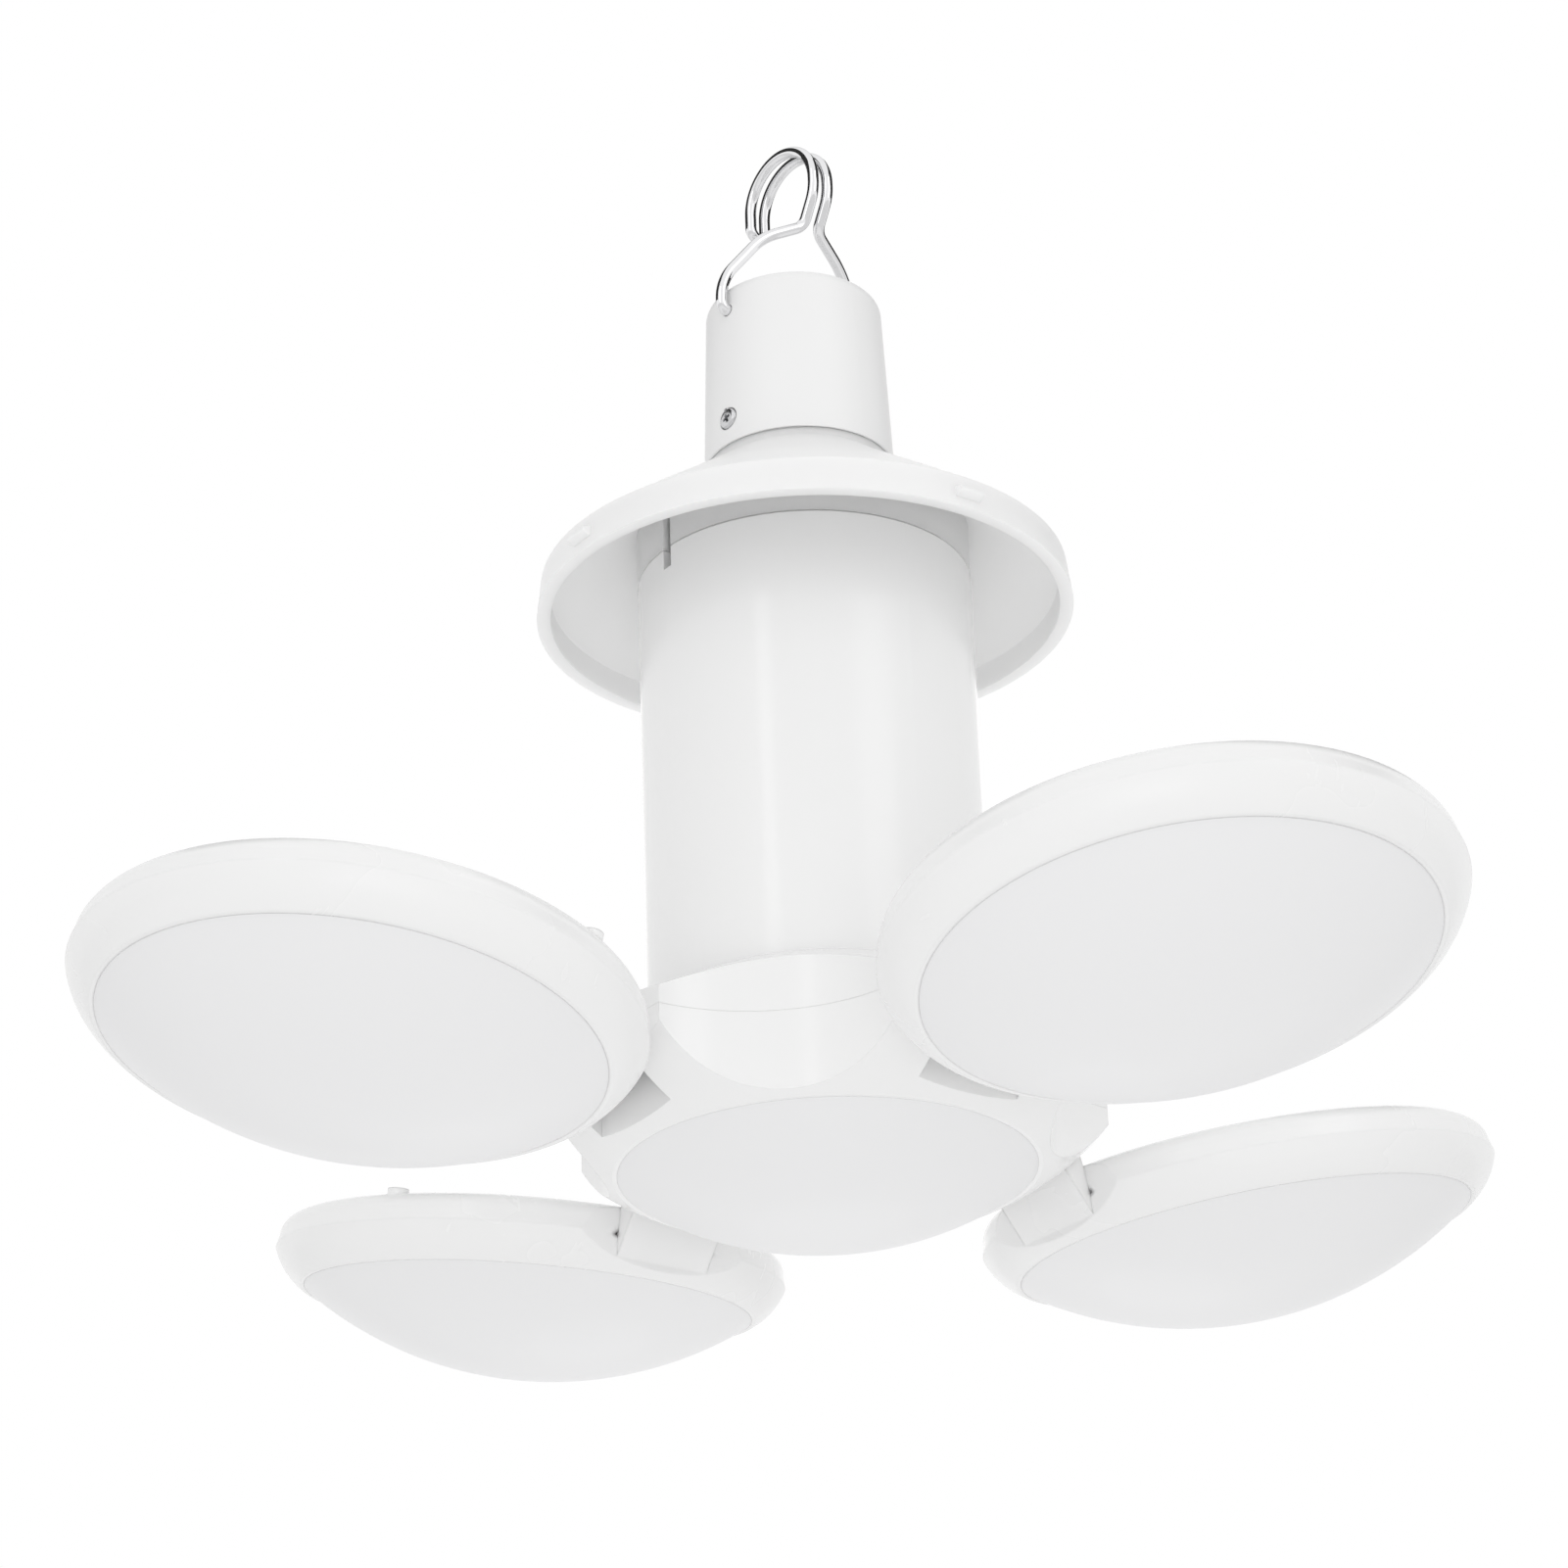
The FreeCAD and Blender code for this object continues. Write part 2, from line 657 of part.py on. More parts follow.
def make_bowl():
    wide = f"{SKIRT_RADIUS} + column_wall"
    land = "hub_lens_radius + bezel_land"
    flange_floor = "bowl_depth - flange_thickness"
    turned_bowl = turned("bowl_turned", [
        ("hub_lens_radius", "0"),
        (land, "0"),
        (SKIRT_RADIUS, "bowl_depth - bowl_edge", "bowl_bulge_radius", 1),
        (wide, "bowl_depth - bowl_edge"),
        (wide, "bowl_depth"),
        (FLANGE_HOLE, "bowl_depth"),
        (FLANGE_HOLE, flange_floor),
        ("bowl_bore", flange_floor),
        ("bowl_bore", "bezel_lip"),
        ("hub_lens_radius", "bezel_lip"),
    ])
    form = common("bowl_form", turned_bowl, hub_plan("bowl_plan", "0", "bowl_depth"))
    standoffs, holes = [], []
    slot_length = "2 * (hub_half_width - slot_floor_radius)"
    for side in range(SIDES):
        turn = turned_about_z(side * SIDE_TURN)
        standoff = turn * move(HUB_BOARD_CIRCLE, z=f"{flange_floor} - standoff_height")
        length = "standoff_height + flange_thickness / 2"
        standoffs.append(cylinder(f"standoff_{side}", "standoff_radius", length, standoff))
        holes.append(bore(f"standoff_bore_{side}", length, standoff))
        holes.append(block(f"slot_{side}", slot_length, "slot_width", "bowl_depth",
                           turn * move(f"slot_floor_radius + {slot_length} / 2")))
        seat = "pin_diameter / 2 + pin_seat_gap"
        room = "(pin_length + 2 * fit_gap)"
        axis = turn * move("hinge_radius", f"{room} / 2", "bowl_depth - hinge_drop", X_AXIS, 90)
        holes.append(cylinder(f"pin_seat_{side}", seat, room, axis))
        holes.append(block(f"pin_channel_{side}", f"2 * ({seat})", room, "hinge_drop",
                           turn * move("hinge_radius", z="bowl_depth - hinge_drop")))
        diagonal = turned_about_z(side * SIDE_TURN + DIAGONAL) * move(HUB_SCREW_CIRCLE)
        holes.append(bore(f"flange_bore_{side}", "bowl_depth", diagonal))
    solid = fuse("bowl_solid", [form] + standoffs)
    piece("hub_bowl", cut("hub_bowl", solid, holes), move(z=LENS_Z))


def make_hub_screws():
    screws = []
    for side in range(SIDES):
        seat = move(HUB_SCREW_CIRCLE, z=f"{SEAM_Z} - flange_thickness")
        place = turned_about_z(side * SIDE_TURN + DIAGONAL) * seat
        screws.append(screw(f"hub_screw_{side}", "flange_thickness + hub_screw_grip", place))
    piece("hub_screws", group("hub_screws", screws))


def make_pins():
    pins = []
    for side in range(SIDES):
        place = turned_about_z(side * SIDE_TURN) * move("hinge_radius", "pin_length / 2", HINGE_Z, X_AXIS, 90)
        pins.append(cylinder(f"hinge_pin_{side}", "pin_diameter / 2", "pin_length", place))
    piece("hinge_pins", group("hinge_pins", pins))


# Milky lenses, LED boards and LEDs, alike in the hub and the petals


def make_lens(node, radius, sag, place):
    """Domed lens with a snap flange over the bezel's lip; its lowest point is at z = 0."""
    rim = f"({radius} - lens_gap)"
    inner = f"({rim} - lens_thickness)"
    depth = f"({sag} - lens_thickness)"
    flange = f"{sag} + bezel_lip + lens_gap"
    lens = turned(node, [
        ("0", "0"),
        (rim, sag, f"({rim} ^ 2 + {sag} ^ 2) / (2 * {sag})", 1),
        (rim, flange),
        (f"{rim} + lens_flange", flange),
        (f"{rim} + lens_flange", f"{flange} + lens_thickness"),
        (inner, f"{flange} + lens_thickness"),
        (inner, sag),
        ("0", "lens_thickness", f"({inner} ^ 2 + {depth} ^ 2) / (2 * {depth})", -1),
    ])
    piece(node, lens, place * move(z=f"-{sag}"))


def make_board(node, radius, screw_circle, screw_count, place):
    """Round LED board with its screw holes; its lower face is at z = 0."""
    disc = cylinder(node + "_disc", radius, "board_thickness", move())
    holes = []
    for index in range(screw_count):
        hole = turned_about_z(index * 360 / screw_count) * move(screw_circle)
        holes.append(bore(f"{node}_hole_{index}", "board_thickness", hole))
    piece(node, cut(node, disc, holes), place)


def make_leds(node, rings, place):
    """Rings of LED packages under a board, with their tops at z = 0. A ring is a radius and a count."""
    body = new_body(node)
    for radius, count in rings:
        sketch = new_sketch(body, "XY_Plane", "-led_height")
        near, far = f"{radius} - led_width / 2", f"{radius} + led_width / 2"
        outline(sketch, [(near, "-led_length / 2"), (far, "-led_length / 2"),
                         (far, "led_length / 2"), (near, "led_length / 2")])
        pad = body.newObject("PartDesign::Pad", "Pad")
        pad.Profile = sketch
        pad.setExpression("Length", bind("led_height"))
        round_copies(body, pad, count)
    piece(node, body, place)


def make_board_screws(node, screw_circle, screw_count, length, place):
    screws = []
    for index in range(screw_count):
        spot = turned_about_z(index * 360 / screw_count) * move(screw_circle)
        screws.append(screw(f"{node}_{index}", length, place * spot))
    piece(node, group(node, screws))


def make_hub_light():
    board_z = f"{SEAM_Z} - flange_thickness - standoff_height - board_thickness"
    place = move(z=board_z)
    make_lens("hub_lens", "hub_lens_radius", "hub_lens_sag", move(z=LENS_Z))
    make_board("hub_led_board", "hub_board_radius", HUB_BOARD_CIRCLE, SIDES, place)
    make_leds("hub_leds", [("hub_led_ring_outer", 12), ("hub_led_ring_inner", 6)], place)
    length = "board_thickness + standoff_height"
    make_board_screws("hub_board_screws", HUB_BOARD_CIRCLE, SIDES, length, place)


# Petals: tray with a bevelled bezel, a flat towards the hub and a hinge tongue

PETAL_SCREWS = 3


def petal_place(turn):
    """From a petal's own frame, with X towards the hub and Z out of its back, to its open place."""
    to_hinge = move("petal_reach", z=f"-{PETAL_HINGE_Z}", angle=180)
    at_hub = move("hinge_radius", z=HINGE_Z, axis=Y_AXIS, angle=-value("open_tilt"))
    return turned_about_z(turn) * at_hub * to_hinge


def make_petal(number, turn):
    node = f"petal_{number}"
    place = petal_place(turn)
    back_edge = "petal_radius - petal_draft - petal_edge"
    ceiling = "(petal_depth - petal_wall)"
    lens_seat = f"{PETAL_LENS_RADIUS} + lens_flange + lens_gap"
    tray = turned(node + "_tray", [
        (PETAL_LENS_RADIUS, "0"),
        (f"{PETAL_LENS_RADIUS} + bezel_land", "0"),
        ("petal_radius", "petal_bevel", "bevel_bulge_radius", 1),
        ("petal_radius - petal_draft", "petal_depth - petal_edge"),
        (back_edge, "petal_depth", "petal_edge", 1),
        ("0", "petal_depth"),
        ("0", ceiling),
        (back_edge, ceiling),
        ("petal_radius - petal_draft - petal_wall", "petal_depth - petal_edge"),
        ("petal_radius - petal_wall", "petal_bevel"),
        (lens_seat, "bezel_lip"),
        (PETAL_LENS_RADIUS, "bezel_lip"),
    ])
    flat = block(node + "_flat", "petal_radius", "2 * petal_radius", "2 * petal_depth",
                 move("petal_reach - chord_inset + petal_radius / 2"))
    root = f"{PETAL_LENS_RADIUS} + lens_flange + bezel_land"
    tongue = padded(node + "_tongue", "XZ_Plane", [
        (root, "petal_depth - petal_wall / 2"),
        ("petal_reach - knuckle_radius - ramp_run", "petal_depth - petal_wall / 2"),
        ("petal_reach - knuckle_radius", PETAL_HINGE_Z),
        ("petal_reach", f"{PETAL_HINGE_Z} + knuckle_radius", "knuckle_radius", -1),
        ("petal_reach + knuckle_radius", PETAL_HINGE_Z, "knuckle_radius", -1),
        ("petal_reach + knuckle_radius", f"{PETAL_HINGE_Z} - tongue_nose"),
        ("petal_reach - chord_inset", "tongue_floor"),
        (root, "tongue_floor"),
    ], "tongue_width", both_ways=True)
    nub_spot = turned_about_z(180 + value("nub_angle")) * move(back_edge, z="petal_depth - nub_height")
    nub = cylinder(node + "_nub", "nub_width / 2", "2 * nub_height", nub_spot)
    pin_hole = cylinder(node + "_pin_hole", "pin_diameter / 2 + pin_play", "2 * tongue_width",
                        move("petal_reach", "tongue_width", PETAL_HINGE_Z, X_AXIS, 90))
    holes = [pin_hole]
    for index in range(PETAL_SCREWS):
        spot = turned_about_z(index * 360 / PETAL_SCREWS) * move("board_screw_circle", z=ceiling)
        holes.append(bore(f"{node}_pilot_{index}", "petal_pilot_depth", spot))
    trimmed = cut(node + "_trimmed", tray, [flat])
    solid = fuse(node + "_solid", [trimmed, tongue, nub])
    piece(node + "_shell", cut(node + "_shell", solid, holes), place)
    make_lens(node + "_lens", PETAL_LENS_RADIUS, "petal_lens_sag", place)
    board = place * move(z=f"{ceiling} - board_thickness")
    make_board(node + "_led_board", PETAL_BOARD_RADIUS, "board_screw_circle", PETAL_SCREWS, board)
    make_leds(node + "_leds", [(PETAL_LED_RING_OUTER, 18), ("petal_led_ring_inner", 9)], board)
    make_board_screws(node + "_board_screws", "board_screw_circle", PETAL_SCREWS,
                      "board_thickness + petal_screw_grip", board)


# Battery in the column, control board on the column's spigot, button and socket in the collar

CELLS = 3


def make_battery():
    span = "(cell_length + holder_gap)"
    lower = cylinder("holder_lower", HOLDER_RADIUS, "holder_plate", move())
    upper = cylinder("holder_upper", HOLDER_RADIUS, "holder_plate", move(z=f"holder_plate + {span}"))
    cells, bars = [], []
    for index in range(CELLS):
        turn = index * 360 / CELLS
        bar = turned_about_z(turn + 180 / CELLS) * move(HOLDER_BAR_CIRCLE, z="holder_plate / 2")
        bars.append(cylinder(f"holder_bar_{index}", "holder_bar_radius", f"holder_plate + {span}", bar))
        stand = move("(cell_diameter + holder_gap) / sqrt(3)", z=f"{SEAM_Z} + holder_plate")
        cell = turned_about_z(turn) * stand
        cells.append(cylinder(f"cell_{index}", "cell_diameter / 2", "cell_length", cell))
    wire_way = cylinder("wire_way", "wire_way_radius", f"2 * holder_plate + {span}", move())
    frame = fuse("holder_frame", [lower, upper] + bars)
    piece("battery_holder", cut("battery_holder", frame, [wire_way]), move(z=SEAM_Z))
    piece("battery_cells", group("battery_cells", cells))


def make_controls():
    board = cylinder("control_board", f"{NECK_BORE} - 2 * fit_gap", "board_thickness", move())
    piece("control_board", board, move(z=f"{RIM_Z} + {CONTROL_BOARD_Z}"))
    board_top = f"({CONTROL_BOARD_Z} + board_thickness)"
    flange_top = "(platform_height - collar_wall - button_gap)"
    flange_floor = f"({flange_top} - button_flange)"
    case = block("switch_case", "switch_width", "switch_width", "switch_height", move())
    plunger_top = f"({flange_floor} - button_travel - 2 * button_gap)"
    plunger = cylinder("switch_plunger", "plunger_radius", f"{plunger_top} - {board_top}", move())
    piece("push_switch", fuse("push_switch", [case, plunger]), move(z=RIM_Z) * platform_place(90, board_top))
    button_height = f"platform_height + button_proud - {flange_floor}"
    button = turned("power_button", [
        ("0", "0"),
        ("button_radius + button_flange", "0"),
        ("button_radius + button_flange", "button_flange"),
        ("button_radius", "button_flange"),
        ("button_radius", f"{button_height} - button_edge"),
        ("button_radius - button_edge", button_height, "button_edge", 1),
        ("0", button_height),
    ])
    piece("power_button", button, move(z=RIM_Z) * platform_place(90, flange_floor))
    height = f"platform_height - {board_top}"
    outer = block("socket_outer", "socket_width", "socket_length", height, move())
    mouth = block("socket_mouth", "socket_width - 2 * socket_wall", "socket_length - 2 * socket_wall", height,
                  move(z="socket_floor"))
    blade_height = f"{height} - socket_blade_recess"
    blade = block("socket_tongue", "socket_blade", "socket_blade_length", blade_height, move())
    shell = cut("socket_shell", outer, [mouth])
    socket = fuse("charge_socket", [shell, blade])
    piece("charge_socket", socket, move(z=RIM_Z) * platform_place(180, board_top))


make_hook()
make_cap()
make_collar()
make_column()
make_bowl()
make_hub_screws()
make_pins()
make_hub_light()
for number in range(SIDES):
    make_petal(number + 1, number * SIDE_TURN)
make_battery()
make_controls()
doc.recompute()

failed = [obj.Name for obj in doc.Objects if {"Invalid", "Error"} & set(obj.State)]
unsound = [obj.Label for obj in pieces if obj.Shape.isNull() or not obj.Shape.isValid()]
if failed or unsound:
    raise RuntimeError(f"failed objects {failed}, unsound sub-parts {unsound}")

os.makedirs("parts", exist_ok=True)
for obj in pieces:
    obj.Shape.exportStep(f"parts/{obj.Label}.step")
    print(f"{obj.Label}: {len(obj.Shape.Solids)} solids, {obj.Shape.Volume:.1f} mm3")
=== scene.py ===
# %% [markdown]
# # A foldable LED bulb
# The lamp hangs from a doubled wire hook. Its white column ends in a scalloped hub, and four round
# light petals hinge on that hub and fold up along the column. The shapes come from the CAD model,
# so this lesson is about what Blender adds: the camera, the light, the finishes and the fine pieces
# that a CAD model leaves plain.

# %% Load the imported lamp
import json
import math

import bmesh
import bpy
from mathutils import Matrix, Vector


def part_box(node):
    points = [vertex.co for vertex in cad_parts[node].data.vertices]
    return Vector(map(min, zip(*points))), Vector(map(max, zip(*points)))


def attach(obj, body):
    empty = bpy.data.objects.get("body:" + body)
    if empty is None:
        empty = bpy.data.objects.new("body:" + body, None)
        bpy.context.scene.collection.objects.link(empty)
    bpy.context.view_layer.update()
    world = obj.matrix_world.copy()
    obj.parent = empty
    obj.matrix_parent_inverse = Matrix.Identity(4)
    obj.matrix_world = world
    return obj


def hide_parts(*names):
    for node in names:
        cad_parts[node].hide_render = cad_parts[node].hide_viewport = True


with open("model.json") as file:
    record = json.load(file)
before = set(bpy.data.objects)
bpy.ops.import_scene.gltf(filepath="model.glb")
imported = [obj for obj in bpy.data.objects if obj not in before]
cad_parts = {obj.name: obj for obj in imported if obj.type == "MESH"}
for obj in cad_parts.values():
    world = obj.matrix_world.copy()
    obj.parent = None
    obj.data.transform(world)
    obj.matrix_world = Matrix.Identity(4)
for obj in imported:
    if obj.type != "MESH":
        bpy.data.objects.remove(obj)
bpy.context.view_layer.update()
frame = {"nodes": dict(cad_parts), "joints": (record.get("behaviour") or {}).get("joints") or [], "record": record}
nodes = frame["nodes"]
scene = bpy.context.scene
scene.view_settings.view_transform = "Standard"


def in_mm(lengths):
    """Lengths in metres as rounded millimetres, for the prints."""
    return [round(1000 * length, 2) for length in lengths]


# %% [markdown]
# ## The camera
# The photograph was taken from below with a long lens, so the undersides of the petals face us.
# Place, tilt and lens were worked out from the ellipses of the collar and of the lenses. A sensor
# width of 36 mm makes the lens length easy to compare with a real camera's.

# %% Camera at the photograph's view
CAMERA_PLACE = (0.59134, -0.44386, -0.47117)
CAMERA_TURN = (115.0013, 1.9542, 54.3988)
CAMERA_LENS = 107.57
SENSOR_WIDTH = 36.0

camera_data = bpy.data.cameras.new("photo_camera")
camera_data.lens = CAMERA_LENS
camera_data.sensor_width = SENSOR_WIDTH
camera = bpy.data.objects.new("photo_camera", camera_data)
camera.location = CAMERA_PLACE
camera.rotation_euler = [math.radians(angle) for angle in CAMERA_TURN]
scene.collection.objects.link(camera)
scene.camera = camera
print("camera at", CAMERA_PLACE, "lens", CAMERA_LENS)

# %% [markdown]
# ## A white room
# The picture is a packshot: white all round, with soft light and hardly any shadow. A world that
# lights the lamp as brightly as it looks would wash the plastic out. So it shows pure white to the
# camera and to reflections, and a calmer white to the surfaces that it lights. The Light Path node
# tells the two apart.

# %% White world
WHITE = (1, 1, 1, 1)
WORLD_SHOWN = 1.0
WORLD_LIGHT = 0.87

world = bpy.data.worlds.new("white_studio")
scene.world = world
world.use_nodes = True
room = world.node_tree
room.nodes.clear()


def combine(tree, operation, first, second):
    """A Math node between two sockets."""
    node = tree.nodes.new("ShaderNodeMath")
    node.operation = operation
    tree.links.new(first, node.inputs[0])
    tree.links.new(second, node.inputs[1])
    return node.outputs["Value"]


def white_background(strength):
    """A white of the room, at a strength."""
    background = room.nodes.new("ShaderNodeBackground")
    background.inputs["Color"].default_value = WHITE
    background.inputs["Strength"].default_value = strength
    return background.outputs["Background"]


rays = room.nodes.new("ShaderNodeLightPath").outputs
seen = combine(room, "MAXIMUM", rays["Is Camera Ray"], rays["Is Glossy Ray"])
seen = combine(room, "MAXIMUM", seen, rays["Is Transmission Ray"])
choice = room.nodes.new("ShaderNodeMixShader")
world_out = room.nodes.new("ShaderNodeOutputWorld")
room.links.new(seen, choice.inputs["Fac"])
room.links.new(white_background(WORLD_LIGHT), choice.inputs[1])
room.links.new(white_background(WORLD_SHOWN), choice.inputs[2])
room.links.new(choice.outputs["Shader"], world_out.inputs["Surface"])
print("world light", WORLD_LIGHT)

# %% [markdown]
# ## The floor
# The lamp hangs, so the pale floor lies well below it, out of the picture. It is a matt plane with no
# pattern of its own, because all that it does is throw light back up and close the views from above.

# %% Floor
FLOOR_Z = -0.80
FLOOR_SIZE = 40.0
FLOOR_GREY = 0.86
FLOOR_ROUGHNESS = 0.8


def plain_paint(name, grey, roughness):
    """An even, matt paint for what only furnishes the studio."""
    paint = bpy.data.materials.new(name)
    paint.use_nodes = True
    shader = paint.node_tree.nodes["Principled BSDF"]
    shader.inputs["Base Color"].default_value = (grey, grey, grey, 1)
    shader.inputs["Roughness"].default_value = roughness
    return paint


bpy.ops.object.select_all(action="DESELECT")
bpy.ops.mesh.primitive_plane_add(size=FLOOR_SIZE, location=(0, 0, FLOOR_Z))
floor = bpy.context.object
floor.name = "studio_floor"
floor.data.materials.append(plain_paint("pale_floor", FLOOR_GREY, FLOOR_ROUGHNESS))
print(floor.name, "at", FLOOR_Z)

# %% [markdown]
# ## Soft boxes
# Glossy white plastic shows its form by the soft edges of what it reflects. A broad box on the right
# and a narrow strip on the left draw the bright bands down the column and the scallops, and a third
# box lights the back. A weak fill beside the camera reaches under the collar and into the hinge slots,
# and its twin behind the lamp keeps the far petals as bright as the near ones. Both fills shine through
# a grid, which keeps them off the floor, and they are hidden from reflections, because a small lamp
# below the lenses would show in them as a hot spot. A large, dim box on the floor stands in for a white
# table top, because the picture looks up at the petals. All stay weak enough that the whites keep
# their shading.

# %% Area lamps
LAMP_MIDDLE = Vector((0, 0, -0.14))
GRID_ANGLE = math.radians(60)
FLOOR_BOX_Z = FLOOR_Z + 0.02


def soft_box(name, place, width, height, watts, gridded=False):
    """A rectangular area lamp that faces the middle of the lamp and stays out of the picture. Behind a
    grid it shines over a narrow angle and leaves no highlight of its own."""
    data = bpy.data.lights.new(name, "AREA")
    data.shape = "RECTANGLE"
    data.size = width
    data.size_y = height
    data.energy = watts
    data.spread = GRID_ANGLE if gridded else math.pi
    box = bpy.data.objects.new(name, data)
    box.location = place
    box.rotation_euler = (LAMP_MIDDLE - Vector(place)).to_track_quat("-Z", "Y").to_euler()
    box.visible_camera = False
    box.visible_glossy = not gridded
    scene.collection.objects.link(box)
    print(name, watts, "W")


soft_box("right_box", (0.94, 0.13, 0.36), width=0.42, height=0.68, watts=0.72)
soft_box("left_strip", (0.39, -0.87, 0.30), width=0.15, height=0.80, watts=0.45)
soft_box("back_box", (-0.70, 0.55, 0.45), width=0.70, height=0.70, watts=0.4)
soft_box("front_fill", (0.64, -0.48, -0.52), width=0.40, height=0.40, watts=0.13, gridded=True)
soft_box("back_fill", (-0.64, 0.48, -0.52), width=0.40, height=0.40, watts=0.13, gridded=True)
soft_box("floor_bounce", (0, 0, FLOOR_BOX_Z), width=3.00, height=3.00, watts=3.0)

# %% [markdown]
# ## Dark cards for the chrome
# Chrome in an all-white room looks white. A photographer holds dark cards beside it, so that it
# reflects dark lines and its roundness shows. Two cards stand close to the hook and face it. The
# camera, the shadows and the diffuse light don't see them, so the plastic keeps its even light.

# %% Cards
CARD_GREY = 0.02
CARD_ROUGHNESS = 0.9


def dark_card(name, place, width, height):
    """A card that faces the hook, which is at the origin, and that only reflections see."""
    bpy.ops.object.select_all(action="DESELECT")
    bpy.ops.mesh.primitive_plane_add(size=1.0, location=place)
    card = bpy.context.object
    card.name = name
    card.scale = (width, height, 1)
    card.rotation_euler = (-Vector(place)).to_track_quat("Z", "Y").to_euler()
    card.visible_camera = False
    card.visible_diffuse = False
    card.visible_shadow = False
    card.data.materials.append(card_paint)
    print(name, "at", place)


card_paint = plain_paint("dark_card", CARD_GREY, CARD_ROUGHNESS)
dark_card("left_card", (-0.14, -0.09, 0.14), width=0.33, height=0.17)
dark_card("right_card", (0.053, 0.176, 0.12), width=0.33, height=0.22)

# %% [markdown]
# ## Moulded skin
# Moulded plastic is never quite even: its gloss drifts over a few centimetres, and its skin has a very
# fine grain. Most of the finishes share this, so it is a node group with named sockets, built once and
# placed in each material with its own values. The group gives out values only, and the shader stays
# in the material.

# %% Node group: moulded skin
DRIFT_DETAIL = 3.0
DRIFT_RANGE = (0.3, 0.7)
GRAIN_DETAIL = 2.0


def new_group(name, inputs, outputs):
    """An empty shader group with a vector, float inputs and float outputs."""
    group = bpy.data.node_groups.new(name, "ShaderNodeTree")
    group.interface.new_socket("Vector", in_out="INPUT", socket_type="NodeSocketVector")
    for label, start in inputs.items():
        socket = group.interface.new_socket(label, in_out="INPUT", socket_type="NodeSocketFloat")
        socket.default_value = start
    for label in outputs:
        group.interface.new_socket(label, in_out="OUTPUT", socket_type="NodeSocketFloat")
    enter = group.nodes.new("NodeGroupInput").outputs
    leave = group.nodes.new("NodeGroupOutput").inputs
    return group, enter, leave


def noise(group, vector, scale, detail):
    """A noise in a group, whose scale is one of the group's inputs."""
    node = group.nodes.new("ShaderNodeTexNoise")
    node.inputs["Detail"].default_value = detail
    group.links.new(vector, node.inputs["Vector"])
    group.links.new(scale, node.inputs["Scale"])
    return node.outputs["Fac"]


def moulded_skin_group():
    """Gloss that drifts over a few centimetres, and a fine grain for bump."""
    group, enter, leave = new_group(
        "moulded_skin",
        {"Drift Scale": 25.0, "Grain Scale": 1500.0, "Low": 0.2, "High": 0.3},
        ["Roughness", "Grain", "Drift"])
    drift = noise(group, enter["Vector"], enter["Drift Scale"], DRIFT_DETAIL)
    grain = noise(group, enter["Vector"], enter["Grain Scale"], GRAIN_DETAIL)
    gloss = group.nodes.new("ShaderNodeMapRange")
    gloss.inputs["From Min"].default_value = DRIFT_RANGE[0]
    gloss.inputs["From Max"].default_value = DRIFT_RANGE[1]
    group.links.new(drift, gloss.inputs["Value"])
    group.links.new(enter["Low"], gloss.inputs["To Min"])
    group.links.new(enter["High"], gloss.inputs["To Max"])
    group.links.new(gloss.outputs["Result"], leave["Roughness"])
    group.links.new(grain, leave["Grain"])
    group.links.new(drift, leave["Drift"])
    return group


moulded_skin = moulded_skin_group()
print(moulded_skin.name, "nodes", len(moulded_skin.nodes))

# %% [markdown]
# ## Dust
# A few tiny specks lie on the lamp. Painting them by hand would tie them to one view, so they come
# from a Voronoi texture, which scatters one point in each of its cells. Only a small share of the
# cells is kept, and only what lies close to a point becomes a speck.

# %% Node group: dust


def dust_specks_group():
    """Sparse specks: a few of the cells of a Voronoi pattern carry a dot."""
    group, enter, leave = new_group("dust_specks", {"Scale": 160.0, "Size": 0.03, "Share": 0.12}, ["Mask"])
    cells = group.nodes.new("ShaderNodeTexVoronoi")
    cells.feature = "F1"
    split = group.nodes.new("ShaderNodeSeparateColor")
    group.links.new(enter["Vector"], cells.inputs["Vector"])
    group.links.new(enter["Scale"], cells.inputs["Scale"])
    group.links.new(cells.outputs["Color"], split.inputs["Color"])
    chosen = combine(group, "LESS_THAN", split.outputs["Red"], enter["Share"])
    dot = combine(group, "LESS_THAN", cells.outputs["Distance"], enter["Size"])
    group.links.new(combine(group, "MULTIPLY", chosen, dot), leave["Mask"])
    return group


dust_specks = dust_specks_group()
print(dust_specks.name, "nodes", len(dust_specks.nodes))

# %% [markdown]
# ## Scuffs
# Handling leaves short, faint scuffs that show in the gloss and not in the colour. A noise that is
# drawn out along one axis gives streaks, and of these only the peaks are kept.

# %% Node group: scuffs
STREAK_STRETCH = (1.0, 6.0, 2.0)
STREAK_TURN = (0.3, 0.5, 0.8)
STREAK_DETAIL = 4.0
STREAK_PEAKS = (0.58, 0.75)


def handling_scuffs_group():
    """Short faint scuffs: a noise drawn out along one axis, of which only the peaks are kept."""
    group, enter, leave = new_group("handling_scuffs", {"Scale": 90.0, "Amount": 0.012}, ["Mask"])
    draw_out = group.nodes.new("ShaderNodeMapping")
    draw_out.inputs["Scale"].default_value = STREAK_STRETCH
    draw_out.inputs["Rotation"].default_value = STREAK_TURN
    group.links.new(enter["Vector"], draw_out.inputs["Vector"])
    streaks = noise(group, draw_out.outputs["Vector"], enter["Scale"], STREAK_DETAIL)
    peaks = group.nodes.new("ShaderNodeMapRange")
    peaks.inputs["From Min"].default_value = STREAK_PEAKS[0]
    peaks.inputs["From Max"].default_value = STREAK_PEAKS[1]
    group.links.new(streaks, peaks.inputs["Value"])
    group.links.new(enter["Amount"], peaks.inputs["To Max"])
    group.links.new(peaks.outputs["Result"], leave["Mask"])
    return group


